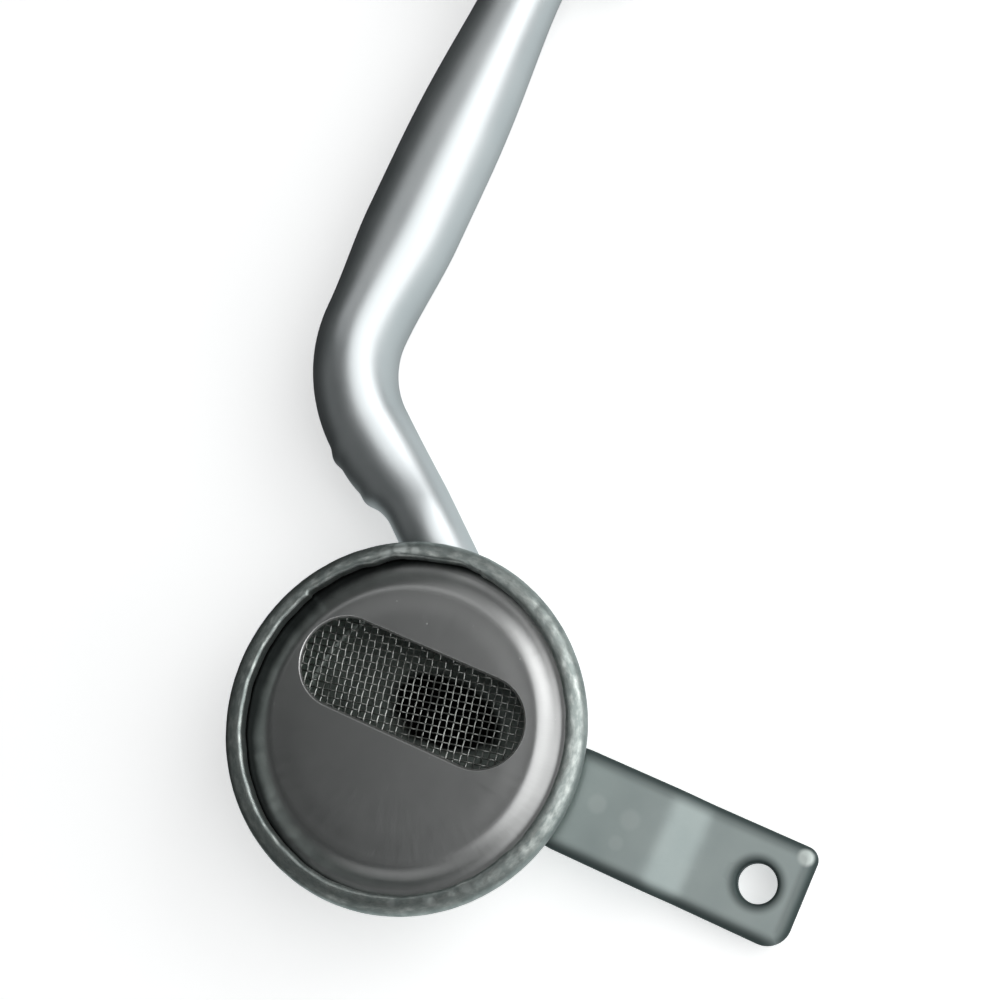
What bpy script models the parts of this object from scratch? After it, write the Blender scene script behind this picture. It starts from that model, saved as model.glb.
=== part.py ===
"""Oil pickup tube of an engine, lying on the flat back of its screen housing.

The housing stands at the origin with its slotted inlet up (+Z). Its bracket points along +X. The suction
tube leaves the side of the housing, turns through an elbow and runs along +Y to a two-bolt pump flange.
Lengths are in metres.
"""

import math

import bmesh
import bpy
from mathutils import Matrix, Vector

OBJECT_NAME = "oil_pickup_tube"

# Clearance between pieces that seat on one another, and the facets of round shapes
SEAT_GAP = 0.0003
ROUND_STEPS = 56
TUBE_SIDES = 20
ARC_SEGMENTS = 3
MERGE_DISTANCE = 0.00001

# Screen housing: a drawn cup whose top edge is rolled inwards and down onto the cover's flange
HOUSING_SHEET = 0.0012
HOUSING_RADIUS = 0.0365
HOUSING_BACK_ROUND = 0.0026
RIM_STEP = 0.0025
RIM_WIDTH = 0.0044
RIM_TOP = 0.0275
RIM_ROUND = 0.0016
LIP_DROP = 0.0030

# Cover: a raised plateau with a sloping shoulder and an inlet slot
COVER_SHEET = 0.0012
PLATEAU_RISE = 0.0022
SHOULDER_WIDTH = 0.0054
SHOULDER_STEPS = 6
GROOVE_WIDTH = 0.0010
SLOT_END_MARGIN = 0.0027
SLOT_WIDTH = 0.0189
SLOT_CENTRE = (-0.0011, 0.0068)

# Strainer screen: a shallow pan of wire cloth, with its weave drawn as bars and gaps under the slot
SCREEN_SHEET = 0.0006
SCREEN_DEPTH = 0.0030
SCREEN_WALL_GAP = 0.0033
SCREEN_SLOPE_WIDTH = 0.0030
SCREEN_SLOPE_STEPS = 3
SCREEN_PITCH = 0.0030
SCREEN_BAR = 0.0010
SCREEN_TURN = math.radians(12.0)
SCREEN_MARGIN = 0.0004

# Suction tube: main run, elbow, eccentric swage down to the neck, and the neck in the housing wall
TUBE_DIAMETER = 0.0222
TUBE_WALL = 0.0015
RUN_X = -0.0503
RUN_HEIGHT = 0.0150
ELBOW_WIDTH = 0.0189
ELBOW_HEIGHT = 0.0228
BEND_RADIUS = 0.0280
BEND_STEPS = 8
LEG_ANGLE = math.radians(-39.6)
LEG_OFFSET = 0.0181
ROUNDING_LENGTH = 0.0250
ROUNDING_STEPS = 6
SWAGE_LENGTH = 0.0220
SWAGE_STEPS = 12
SWAGE_BIAS = 1.8
RIPPLE_HEIGHT = 0.0007
RIPPLE_START = 0.14
RIPPLE_PITCH = 0.54
NECK_DIAMETER = 0.0148
NECK_SHIFT = 0.0024
NECK_HEIGHT = 0.0105
NECK_REACH = 0.0025

# Pump end of the tube and its flange
PUMP_NECK_DIAMETER = 0.0175
PUMP_TAPER_Y = (0.1300, 0.1680)
PUMP_TAPER_STEPS = 6
PUMP_TAPER_BIAS = 1.6
FLANGE_Y = 0.1840
FLANGE_THICKNESS = 0.0065
FLANGE_LOBE_RADIUS = 0.0082
FLANGE_HOLE_SPACING = 0.0420
FLANGE_HOLE_DIAMETER = 0.0085
FLANGE_EDGE_ROUND = 0.0008
TUBE_END_RECESS = 0.0008

# Bracket: a joggled strap with a bolt hole
BRACKET_WIDTH = 0.0222
BRACKET_THICKNESS = 0.0045
BRACKET_Y = 0.0004
BRACKET_ROOT_TOP = 0.0110
BRACKET_DROP = 0.0045
JOGGLE_X = 0.0594
JOGGLE_LENGTH = 0.0068
JOGGLE_STEPS = 6
BRACKET_END_X = 0.0864
BRACKET_HOLE_X = 0.0768
BRACKET_HOLE_DIAMETER = 0.0082
BRACKET_EDGE_ROUND = 0.0020
BRACKET_CORNERS = (0.0026, 0.0052)

# Braze and weld beads
TUBE_BRAZE_RADIUS = 0.0010
FLANGE_BRAZE_RADIUS = 0.0014
BRACKET_WELD_RADIUS = 0.0012
BRAZE_POINTS = 36
BRACKET_WELD_POINTS = 13

# Radii of the rolled rim, and of the cover and the screen inside it
RIM_RADIUS = HOUSING_RADIUS + RIM_STEP
LIP_RADIUS = RIM_RADIUS - RIM_WIDTH
CLAMPED_RADIUS = RIM_RADIUS - HOUSING_SHEET - SEAT_GAP
PLATEAU_RADIUS = LIP_RADIUS - GROOVE_WIDTH - SHOULDER_WIDTH
SLOT_LENGTH = 2 * (PLATEAU_RADIUS - SLOT_END_MARGIN)
SCREEN_SLOPE_END = HOUSING_RADIUS - HOUSING_SHEET - SCREEN_WALL_GAP
SCREEN_FLOOR_RADIUS = SCREEN_SLOPE_END - SCREEN_SLOPE_WIDTH

# Heights of the layers that the rolled rim clamps, from the top down
LIP_END = RIM_TOP - LIP_DROP
COVER_FLANGE_TOP = LIP_END - SEAT_GAP
SCREEN_TOP = COVER_FLANGE_TOP - COVER_SHEET - SEAT_GAP
SEAT_TOP = SCREEN_TOP - SCREEN_SHEET - SEAT_GAP
RIM_UNDERSIDE = SEAT_TOP - HOUSING_SHEET
PLATEAU_TOP = COVER_FLANGE_TOP + PLATEAU_RISE

# The lower leg of the tube runs in plan along LEG, and SIDE points to the inner side of the elbow
LEG = Vector((math.cos(LEG_ANGLE), math.sin(LEG_ANGLE), 0.0))
SIDE = Vector((-LEG.y, LEG.x, 0.0))
UP = Vector((0.0, 0.0, 1.0))
NECK_OFFSET = LEG_OFFSET + NECK_SHIFT


def srgb(code):
    """Linear RGBA of a hex colour."""
    channels = [int(code[i : i + 2], 16) / 255 for i in (1, 3, 5)]
    return [c / 12.92 if c < 0.04045 else ((c + 0.055) / 1.055) ** 2.4 for c in channels] + [1.0]


def make_material(name, colour, roughness, metallic=1.0):
    material = bpy.data.materials.new(name)
    material.use_nodes = True
    shader = material.node_tree.nodes["Principled BSDF"]
    shader.inputs["Base Color"].default_value = srgb(colour)
    shader.inputs["Roughness"].default_value = roughness
    shader.inputs["Metallic"].default_value = metallic
    return material


def make_collection(name):
    collection = bpy.data.collections.new(name)
    bpy.context.scene.collection.children.link(collection)
    return collection


def make_object(name, bm, collection, material=None, smooth=True):
    mesh = bpy.data.meshes.new(name)
    bm.to_mesh(mesh)
    bm.free()
    if smooth and mesh.polygons:
        mesh.shade_smooth()
        mesh.set_sharp_from_angle(angle=math.radians(35))
    if material:
        mesh.materials.append(material)
    obj = bpy.data.objects.new(name, mesh)
    collection.objects.link(obj)
    return obj


def add_modifier(obj, kind, **settings):
    modifier = obj.modifiers.new(kind.title(), kind)
    for key, value in settings.items():
        setattr(modifier, key, value)
    return modifier


def make_cutter(name, bm, cutters):
    cutter = make_object(name, bm, cutters, smooth=False)
    cutter.hide_render = True
    cutter.display_type = "WIRE"
    return cutter


def boolean(obj, cutter, operation="DIFFERENCE"):
    add_modifier(obj, "BOOLEAN", object=cutter, operation=operation)


def cylinder(bm, radius, length, centre, axis=UP, segments=32):
    """Adds a closed cylinder around centre, along axis, and returns its vertices."""
    turn = UP.rotation_difference(axis).to_matrix().to_4x4()
    return bmesh.ops.create_cone(
        bm,
        cap_ends=True,
        segments=segments,
        radius1=radius,
        radius2=radius,
        depth=length,
        matrix=Matrix.Translation(centre) @ turn,
    )["verts"]


def ease(t):
    """Smooth step from 0 to 1."""
    t = min(max(t, 0.0), 1.0)
    return t * t * (3.0 - 2.0 * t)


def arc(centre, radius, start, end, segments=ARC_SEGMENTS):
    """Points of an arc in the plane of a turned profile, angles in degrees."""
    angles = [math.radians(start + (end - start) * i / segments) for i in range(segments + 1)]
    return [(centre[0] + radius * math.cos(a), centre[1] + radius * math.sin(a)) for a in angles]


def turned_sheet(name, profile, sheet, collection, material):
    """Turns an open profile about Z and thickens it behind its exposed side."""
    bm = bmesh.new()
    verts = [bm.verts.new((radius, 0.0, height)) for radius, height in profile]
    for first, second in zip(verts, verts[1:]):
        bm.edges.new((first, second))
    obj = make_object(name, bm, collection, material)
    add_modifier(
        obj,
        "SCREW",
        axis="Z",
        steps=ROUND_STEPS,
        render_steps=ROUND_STEPS,
        use_merge_vertices=True,
        merge_threshold=MERGE_DISTANCE,
        use_smooth_shade=True,
    )
    add_modifier(obj, "SOLIDIFY", thickness=sheet, offset=-1.0, use_even_offset=True)
    return obj


def neck_end():
    """Where the neck ends inside the housing: its near side reaches NECK_REACH past the wall."""
    inside = HOUSING_RADIUS - HOUSING_SHEET
    near_side = NECK_OFFSET + NECK_DIAMETER / 2
    return -(math.sqrt(inside**2 - near_side**2) - NECK_REACH)


def make_housing(parts, cutters, steel):
    """A drawn cup with a stepped seat, and a top edge rolled inwards and down onto the cover's flange."""
    step_round = HOUSING_SHEET / 2
    profile = [(LIP_RADIUS, LIP_END)]
    profile += arc((LIP_RADIUS + RIM_ROUND, RIM_TOP - RIM_ROUND), RIM_ROUND, 180, 90)
    profile += arc((RIM_RADIUS - RIM_ROUND, RIM_TOP - RIM_ROUND), RIM_ROUND, 90, 0)
    profile += arc((RIM_RADIUS - RIM_ROUND, RIM_UNDERSIDE + RIM_ROUND), RIM_ROUND, 0, -90, 2)
    profile += arc((HOUSING_RADIUS + step_round, RIM_UNDERSIDE - step_round), step_round, 90, 180, 1)
    profile += arc(
        (HOUSING_RADIUS - HOUSING_BACK_ROUND, HOUSING_BACK_ROUND), HOUSING_BACK_ROUND, 0, -90
    )
    profile.append((0.0, 0.0))
    housing = turned_sheet("screen_housing", profile, HOUSING_SHEET, parts, steel)

    bm = bmesh.new()
    length = HOUSING_RADIUS
    centre = SIDE * NECK_OFFSET + LEG * (neck_end() - length / 2) + UP * NECK_HEIGHT
    cylinder(bm, NECK_DIAMETER / 2 + SEAT_GAP, length, centre, LEG)
    boolean(housing, make_cutter("neck_hole_cutter", bm, cutters))


def make_cover(parts, cutters, steel):
    """A pressed disc: flat plateau, sloping shoulder, flange under the rim, and the inlet slot."""
    profile = [(0.0, PLATEAU_TOP)]
    for i in range(SHOULDER_STEPS + 1):
        t = i / SHOULDER_STEPS
        profile.append((PLATEAU_RADIUS + SHOULDER_WIDTH * t, PLATEAU_TOP - PLATEAU_RISE * ease(t)))
    profile.append((CLAMPED_RADIUS, COVER_FLANGE_TOP))
    cover = turned_sheet("cover_plate", profile, COVER_SHEET, parts, steel)

    bm = bmesh.new()
    centre = Vector((*SLOT_CENTRE, PLATEAU_TOP))
    verts = cylinder(bm, SLOT_WIDTH / 2, 8 * COVER_SHEET, centre, segments=46)
    for vert in verts:
        pull = math.copysign((SLOT_LENGTH - SLOT_WIDTH) / 2, vert.co.x - centre.x)
        vert.co.x += pull
    boolean(cover, make_cutter("slot_cutter", bm, cutters))


def screen_gaps():
    """Centres of the weave's gaps: a turned grid, kept where the slot shows it."""
    turn = Matrix.Rotation(SCREEN_TURN, 2)
    half_straight = (SLOT_LENGTH - SLOT_WIDTH) / 2
    reach = SLOT_WIDTH / 2 + SCREEN_MARGIN
    count = math.ceil(SLOT_LENGTH / SCREEN_PITCH)
    centres = []
    for i in range(-count, count + 1):
        for j in range(-count, count + 1):
            x, y = turn @ Vector((i * SCREEN_PITCH, j * SCREEN_PITCH))
            beyond = max(abs(x) - half_straight, 0.0)
            if math.hypot(beyond, y) <= reach:
                centres.append((SLOT_CENTRE[0] + x, SLOT_CENTRE[1] + y))
    return centres


def make_screen(parts, cutters, wire):
    """A pan of wire cloth clamped under the cover, open in a grid of gaps below the slot."""
    floor_top = SCREEN_TOP - SCREEN_DEPTH
    profile = [(0.0, floor_top)]
    for i in range(SCREEN_SLOPE_STEPS + 1):
        t = i / SCREEN_SLOPE_STEPS
        profile.append((SCREEN_FLOOR_RADIUS + SCREEN_SLOPE_WIDTH * t, floor_top + SCREEN_DEPTH * ease(t)))
    profile.append((CLAMPED_RADIUS, SCREEN_TOP))
    screen = turned_sheet("wire_screen", profile, SCREEN_SHEET, parts, wire)

    bm = bmesh.new()
    gap = SCREEN_PITCH - SCREEN_BAR
    height = 3 * SCREEN_DEPTH
    shape = Matrix.Rotation(SCREEN_TURN, 4, "Z") @ Matrix.Diagonal((gap, gap, height, 1.0))
    for x, y in screen_gaps():
        bmesh.ops.create_cube(bm, size=1.0, matrix=Matrix.Translation((x, y, floor_top)) @ shape)
    boolean(screen, make_cutter("gap_cutter", bm, cutters))


def tube_stations():
    """Sections of the tube from the pump to the housing: centre, side vector, half width and half height."""
    radius = TUBE_DIAMETER / 2
    flat = ELBOW_WIDTH / 2
    tall = ELBOW_HEIGHT / 2
    pump_radius = PUMP_NECK_DIAMETER / 2
    neck_radius = NECK_DIAMETER / 2

    foot = SIDE * LEG_OFFSET
    corner_y = (LEG_OFFSET - RUN_X * SIDE.x) / SIDE.y
    corner = Vector((RUN_X, corner_y, 0.0))
    turn = math.pi / 2 + LEG_ANGLE
    tangent = BEND_RADIUS * math.tan(turn / 2)
    bend_start_y = corner_y + tangent
    bend_centre = Vector((RUN_X + BEND_RADIUS, bend_start_y, 0.0))
    leg_start = (corner - foot).dot(LEG) + tangent
    descent = BEND_RADIUS * turn + SWAGE_LENGTH

    def height(travel):
        return RUN_HEIGHT + (NECK_HEIGHT - RUN_HEIGHT) * ease(travel / descent)

    sections = []

    def add(centre, side, half_width, half_height, travel=0.0, ripple=0.0):
        centre = Vector((centre.x, centre.y, height(travel)))
        sections.append((centre, side, half_width, half_height, ripple))

    end_y = FLANGE_Y + FLANGE_THICKNESS - TUBE_END_RECESS
    taper_start, taper_end = PUMP_TAPER_Y
    across = Vector((1.0, 0.0, 0.0))
    add(Vector((RUN_X, end_y, 0.0)), across, pump_radius, pump_radius)
    for i in range(PUMP_TAPER_STEPS, -1, -1):
        t = i / PUMP_TAPER_STEPS
        r = radius + (pump_radius - radius) * ease(t**PUMP_TAPER_BIAS)
        add(Vector((RUN_X, taper_start + (taper_end - taper_start) * t, 0.0)), across, r, r)
    for i in range(ROUNDING_STEPS):
        t = i / ROUNDING_STEPS
        y = bend_start_y + ROUNDING_LENGTH * (1 - t)
        w = radius + (flat - radius) * ease(t)
        h = radius + (tall - radius) * ease(t)
        add(Vector((RUN_X, y, 0.0)), across, w, h)
    for i in range(BEND_STEPS + 1):
        a = turn * i / BEND_STEPS
        side = Vector((math.cos(a), math.sin(a), 0.0))
        add(bend_centre - side * BEND_RADIUS, side, flat, tall, BEND_RADIUS * a)
    for i in range(1, SWAGE_STEPS + 1):
        t = i / SWAGE_STEPS
        share = ease(t**SWAGE_BIAS)
        centre = foot + LEG * (leg_start + SWAGE_LENGTH * t) + SIDE * NECK_SHIFT * share
        w = flat + (neck_radius - flat) * share
        h = tall + (neck_radius - tall) * share
        ripple = RIPPLE_HEIGHT * max(0.0, math.cos(2 * math.pi * (t - RIPPLE_START) / RIPPLE_PITCH)) ** 2
        add(centre, SIDE, w, h, BEND_RADIUS * turn + SWAGE_LENGTH * t, ripple)
    add(foot + LEG * neck_end() + SIDE * NECK_SHIFT, SIDE, neck_radius, neck_radius, descent)
    return sections


def make_tube(parts, steel):
    """A loft through the stations: round, flattened at the elbow, and squeezed down to the neck."""
    bm = bmesh.new()
    rings = []
    for centre, side, half_width, half_height, ripple in tube_stations():
        ring = []
        for i in range(TUBE_SIDES):
            a = 2 * math.pi * i / TUBE_SIDES
            swell = ripple * max(0.0, -math.cos(a)) ** 2
            offset = side * (half_width + swell) * math.cos(a) + UP * half_height * math.sin(a)
            ring.append(bm.verts.new(centre + offset))
        rings.append(ring)
    for first, second in zip(rings, rings[1:]):
        for i in range(TUBE_SIDES):
            j = (i + 1) % TUBE_SIDES
            bm.faces.new((first[i], first[j], second[j], second[i]))
    tube = make_object("pickup_tube", bm, parts, steel)
    add_modifier(tube, "SOLIDIFY", thickness=TUBE_WALL, offset=-1.0, use_even_offset=True)


def make_flange(parts, cutters, steel):
    """A two-bolt plate: the hull of a centre disc and two lobes, bored for the tube and its bolts."""
    bm = bmesh.new()
    along = Vector((0.0, 1.0, 0.0))
    centre = Vector((RUN_X, FLANGE_Y + FLANGE_THICKNESS / 2, RUN_HEIGHT))
    lobe = Vector((FLANGE_HOLE_SPACING / 2, 0.0, 0.0))
    cylinder(bm, RUN_HEIGHT, FLANGE_THICKNESS, centre, along, 48)
    for place in (centre - lobe, centre + lobe):
        cylinder(bm, FLANGE_LOBE_RADIUS, FLANGE_THICKNESS, place, along)
    hull = bmesh.ops.convex_hull(bm, input=bm.verts, use_existing_faces=False)
    spare = set(hull["geom_interior"]) | set(hull["geom_unused"])
    bmesh.ops.delete(bm, geom=[g for g in spare if isinstance(g, bmesh.types.BMVert)], context="VERTS")
    bmesh.ops.dissolve_limit(bm, angle_limit=math.radians(1), verts=bm.verts, edges=bm.edges)
    flange = make_object("pump_flange", bm, parts, steel)
    add_modifier(
        flange,
        "BEVEL",
        width=FLANGE_EDGE_ROUND,
        segments=2,
        limit_method="ANGLE",
        angle_limit=math.radians(50),
    )
    bm = bmesh.new()
    cylinder(bm, PUMP_NECK_DIAMETER / 2 + SEAT_GAP, 3 * FLANGE_THICKNESS, centre, along)
    for place in (centre - lobe, centre + lobe):
        cylinder(bm, FLANGE_HOLE_DIAMETER / 2, 3 * FLANGE_THICKNESS, place, along, 24)
    boolean(flange, make_cutter("flange_hole_cutter", bm, cutters))


def bracket_top(x):
    """Height of the strap's upper face, which steps down across the joggle."""
    return BRACKET_ROOT_TOP - BRACKET_DROP * ease((x - JOGGLE_X) / JOGGLE_LENGTH + 0.5)


def make_bracket(parts, cutters, steel):
    """A strap that steps down at its joggle, cut to the housing's wall, with a bolt hole at its free end."""
    root = HOUSING_RADIUS * 0.8
    half = BRACKET_WIDTH / 2
    joggle_start = JOGGLE_X - JOGGLE_LENGTH / 2
    overhang = BRACKET_THICKNESS
    stations = [joggle_start + JOGGLE_LENGTH * i / JOGGLE_STEPS for i in range(JOGGLE_STEPS + 1)]
    stations = [root, *stations, BRACKET_END_X + overhang]
    near_y = BRACKET_Y - half - overhang
    top = [(x, near_y, bracket_top(x)) for x in stations]
    under = [(x, y, z - BRACKET_THICKNESS) for x, y, z in reversed(top)]
    bm = bmesh.new()
    side = bm.faces.new([bm.verts.new(place) for place in top + under])
    grown = bmesh.ops.extrude_face_region(bm, geom=[side])["geom"]
    moved = [g for g in grown if isinstance(g, bmesh.types.BMVert)]
    bmesh.ops.translate(bm, verts=moved, vec=(0.0, 2 * (half + overhang), 0.0))
    bmesh.ops.recalc_face_normals(bm, faces=bm.faces)
    bracket = make_object("mounting_bracket", bm, parts, steel)

    bm = bmesh.new()
    span = BRACKET_END_X
    size = Matrix.Diagonal((span, BRACKET_WIDTH, 2 * RIM_TOP, 1.0))
    box = Matrix.Translation((BRACKET_END_X - span / 2, BRACKET_Y, BRACKET_ROOT_TOP)) @ size
    bmesh.ops.create_cube(bm, size=1.0, matrix=box)
    for side, radius in zip((1, -1), BRACKET_CORNERS):
        corner = [
            e
            for e in bm.edges
            if all(abs(v.co.x - BRACKET_END_X) < MERGE_DISTANCE for v in e.verts)
            and all(abs(v.co.y - BRACKET_Y - side * half) < MERGE_DISTANCE for v in e.verts)
        ]
        bmesh.ops.bevel(
            bm, geom=corner, offset=radius, segments=6, profile=0.5, affect="EDGES", material=-1
        )
    boolean(bracket, make_cutter("bracket_outline_cutter", bm, cutters), "INTERSECT")

    bm = bmesh.new()
    cylinder(bm, HOUSING_RADIUS + SEAT_GAP, 4 * RIM_TOP, Vector((0.0, 0.0, RIM_TOP)), segments=ROUND_STEPS)
    hole = Vector((BRACKET_HOLE_X, BRACKET_Y, bracket_top(BRACKET_HOLE_X)))
    cylinder(bm, BRACKET_HOLE_DIAMETER / 2, 4 * BRACKET_THICKNESS, hole, segments=24)
    boolean(bracket, make_cutter("bracket_hole_cutter", bm, cutters))
    add_modifier(
        bracket,
        "BEVEL",
        width=BRACKET_EDGE_ROUND,
        segments=3,
        limit_method="ANGLE",
        angle_limit=math.radians(50),
    )


def make_bead(name, points, radius, cyclic, parts, material):
    """A bead of filler metal laid along points."""
    curve = bpy.data.curves.new(name, "CURVE")
    curve.dimensions = "3D"
    curve.bevel_depth = radius
    curve.bevel_resolution = 1
    curve.use_fill_caps = True
    spline = curve.splines.new("POLY")
    spline.points.add(len(points) - 1)
    spline.use_cyclic_u = cyclic
    spline.use_smooth = True
    for point, place in zip(spline.points, points):
        point.co = (*place, 1.0)
    curve.materials.append(material)
    parts.objects.link(bpy.data.objects.new(name, curve))


def tube_braze_path():
    """The line where the neck's surface meets the housing's wall, kept clear of both by the bead."""
    stand_off = TUBE_BRAZE_RADIUS + SEAT_GAP
    ring = NECK_DIAMETER / 2 + stand_off
    wall = HOUSING_RADIUS + stand_off
    points = []
    for i in range(BRAZE_POINTS):
        a = 2 * math.pi * i / BRAZE_POINTS
        offset = NECK_OFFSET + ring * math.cos(a)
        along = -math.sqrt(wall**2 - offset**2)
        points.append(SIDE * offset + LEG * along + UP * (NECK_HEIGHT + ring * math.sin(a)))
    return points


def flange_braze_path():
    """A ring round the tube, on the back of the flange."""
    ring = PUMP_NECK_DIAMETER / 2 + FLANGE_BRAZE_RADIUS + SEAT_GAP
    y = FLANGE_Y - FLANGE_BRAZE_RADIUS - SEAT_GAP
    angles = [2 * math.pi * i / BRAZE_POINTS for i in range(BRAZE_POINTS)]
    return [(RUN_X + ring * math.cos(a), y, RUN_HEIGHT + ring * math.sin(a)) for a in angles]


def bracket_weld_path():
    """An arc along the housing's wall, under the root of the strap."""
    wall = HOUSING_RADIUS + BRACKET_WELD_RADIUS + SEAT_GAP
    reach = math.asin((BRACKET_WIDTH / 2 - BRACKET_WELD_RADIUS) / wall)
    height = BRACKET_ROOT_TOP - BRACKET_THICKNESS - SEAT_GAP - BRACKET_WELD_RADIUS
    angles = [reach * (2 * i / (BRACKET_WELD_POINTS - 1) - 1) for i in range(BRACKET_WELD_POINTS)]
    return [(wall * math.cos(a), wall * math.sin(a), height) for a in angles]


def main():
    for obj in list(bpy.data.objects):
        bpy.data.objects.remove(obj)
    parts = make_collection(OBJECT_NAME)
    cutters = make_collection("cutters")

    tube_steel = make_material("tube_steel", "#C9CDCD", 0.32)
    housing_steel = make_material("housing_steel", "#8E9594", 0.42)
    cover_steel = make_material("cover_steel", "#6E7374", 0.36)
    screen_wire = make_material("screen_wire", "#8A8C88", 0.38)
    bracket_steel = make_material("bracket_steel", "#8F9998", 0.50)
    flange_steel = make_material("flange_steel", "#83898A", 0.45)
    filler_metal = make_material("filler_metal", "#A39B80", 0.48)

    make_tube(parts, tube_steel)
    make_housing(parts, cutters, housing_steel)
    make_cover(parts, cutters, cover_steel)
    make_screen(parts, cutters, screen_wire)
    make_bracket(parts, cutters, bracket_steel)
    make_flange(parts, cutters, flange_steel)
    make_bead("tube_braze", tube_braze_path(), TUBE_BRAZE_RADIUS, True, parts, filler_metal)
    make_bead("flange_braze", flange_braze_path(), FLANGE_BRAZE_RADIUS, True, parts, filler_metal)
    make_bead("bracket_weld", bracket_weld_path(), BRACKET_WELD_RADIUS, False, parts, bracket_steel)


main()
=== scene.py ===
"""Looks of an oil pickup: a suction tube, a rolled strainer cup with its wire cloth, and a strap bracket.

Every piece is in metres, in the frame of the solids. The cup's flat back lies on the floor at the origin.
"""

import math

import bmesh
import bpy
from mathutils import Matrix, Vector, noise


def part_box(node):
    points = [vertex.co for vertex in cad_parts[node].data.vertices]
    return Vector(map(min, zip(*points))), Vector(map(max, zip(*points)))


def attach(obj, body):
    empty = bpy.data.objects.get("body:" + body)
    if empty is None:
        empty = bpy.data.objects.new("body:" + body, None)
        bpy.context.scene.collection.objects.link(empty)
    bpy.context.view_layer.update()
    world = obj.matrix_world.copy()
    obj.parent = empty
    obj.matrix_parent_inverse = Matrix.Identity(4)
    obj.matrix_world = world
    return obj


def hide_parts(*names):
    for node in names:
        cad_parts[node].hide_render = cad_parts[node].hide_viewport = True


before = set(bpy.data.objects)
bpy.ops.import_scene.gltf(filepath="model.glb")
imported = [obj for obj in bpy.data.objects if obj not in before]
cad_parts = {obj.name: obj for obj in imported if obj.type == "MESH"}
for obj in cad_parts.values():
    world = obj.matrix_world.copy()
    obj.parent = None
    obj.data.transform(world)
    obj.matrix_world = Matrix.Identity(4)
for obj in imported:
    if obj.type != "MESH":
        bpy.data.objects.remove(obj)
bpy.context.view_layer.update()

MM = 0.001
BODY = "root"
UP = Vector((0.0, 0.0, 1.0))
SEAT_GAP = 0.3 * MM
MERGE_GAP = 0.001 * MM
SOLID_MERGE_GAP = 0.002 * MM

# Cup and its rolled rim. The wall tapers down from the step, and the roll is highest near its inner lip.
CUP_RADIUS = 36.5 * MM
CUP_DRAFT = math.radians(10.0)
CUP_SHEET = 1.2 * MM
CUP_BACK_ROUND = 2.6 * MM
RIM_RADIUS = 38.7 * MM
RIM_TOP = 27.5 * MM
RIM_UNDERSIDE = 20.6 * MM
RIM_SHOULDER = 25.2 * MM
RIM_FOOT = 22.2 * MM
LIP_RADIUS = 34.6 * MM
LIP_ROUND = 0.8 * MM
LIP_END = 24.5 * MM
CUP_STEPS = 480
BORE_SIDES = 64

# Marks of the rolling tool on the rim, with the share of their depth that its side gets
DENT_DEPTH = 0.10 * MM
DENT_SIZE = 2.2 * MM
CHATTER_DEPTH = 0.03 * MM
CHATTER_SIZE = 0.9 * MM
SIDE_DENTS = 0.3
LIP_WAVE = 0.22 * MM
LIP_WAVE_LENGTH = 5.0 * MM
LIP_BAND = 2.0 * MM

# The uneven lip between its two steps, with how much deeper its dents and waves are
ROUGH_LIP_START = math.radians(86.0)
ROUGH_LIP_END = math.radians(151.0)
ROUGH_LIP_PULL = 0.35 * MM
ROUGH_LIP_DENTS = 1.6
ROUGH_LIP_WAVES = 2.0

# Wear on the rim: specks smeared round it, between two heights
SPECK_SIZE = 1.0 * MM
SMEAR_RADIUS = 14.0 * MM
WEAR_LOW = 24.4 * MM
WEAR_HIGH = 27.0 * MM

# Painted shadow on the cup's floor: a black patch where the closed cup lies in shade
PAINTED_SHADOW_Y = 6.0 * MM
PAINTED_SHADOW_HALF_LENGTH = 14.0 * MM
PAINTED_SHADOW_HALF_WIDTH = 8.0 * MM
PAINTED_SHADOW_UNEVENNESS = 0.6

# Cover: flat plateau that rolls off softly, steep shoulder, and a groove inside the lip
COVER_FLANGE_TOP = 24.2 * MM
COVER_SHEET = 1.2 * MM
COVER_RADIUS = 37.2 * MM
PLATEAU_RADIUS = 28.2 * MM
PLATEAU_RISE = 2.2 * MM
PLATE_EDGE = 29.4 * MM
ROLL_OFF_RADIUS = 22.5 * MM
ROLL_OFF_DROP = 0.22 * MM
PLATEAU_STEPS = 16
SHOULDER_WIDTH = 5.4 * MM
SHOULDER_STEPS = 24
SLOT_LENGTH = 51.0 * MM
SLOT_WIDTH = 18.9 * MM
SLOT_CENTRE = Vector((-1.1 * MM, 6.8 * MM, 0.0))
SLOT_STEPS = 320
SLOT_CHAMFER = 0.45 * MM
# Width of the pale band round the slot: its bare punched edge, and a painted highlight on it
BARE_EDGE_AND_HIGHLIGHT = 1.05 * SLOT_CHAMFER

# Finish of the cover: draw lines, scratches and dust, painted shade towards its left and in the groove, and
# the pale edge of the slot
LINE_SPACING = 0.7 * MM
LINE_STRETCH = 0.12
LINES_START = 25.0 * MM
LINES_END = 30.0 * MM
SCRATCH_TURN = math.radians(35.0)
DUST_CELL = 3.0 * MM
CLEAN_CELLS = 0.66
LEFT_SHADE_START_X = 14.0 * MM
LEFT_SHADE_END_X = -36.0 * MM
GROOVE_SHADE_START = 34.0 * MM
GROOVE_SHADE_END = 36.8 * MM
GROOVE_SHADE_CREEP = 2.0 * MM
GROOVE_SHADE_LEAN = -0.09

# Wire cloth, and the sloped ring of the screen round it
CLOTH_TURN = math.radians(12.0)
CLOTH_PITCH = 1.5 * MM
WIRE_RADIUS = 0.17 * MM
WIRE_SIDES = 6
CRIMP_STEPS = 4
CLOTH_RADIUS = 30.6 * MM
PAN_SLOPE_WIDTH = 2.4 * MM
CLOTH_HEIGHT = 19.4 * MM
CLOTH_SAG = 0.25 * MM
CLOTH_SAG_LENGTH = 9.0 * MM
PAN_STEPS = 8
PAN_SIDES = 160
SCREEN_TOP = 22.7 * MM
SCREEN_SHEET = 0.6 * MM
SCREEN_RADIUS = 36.3 * MM

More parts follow.
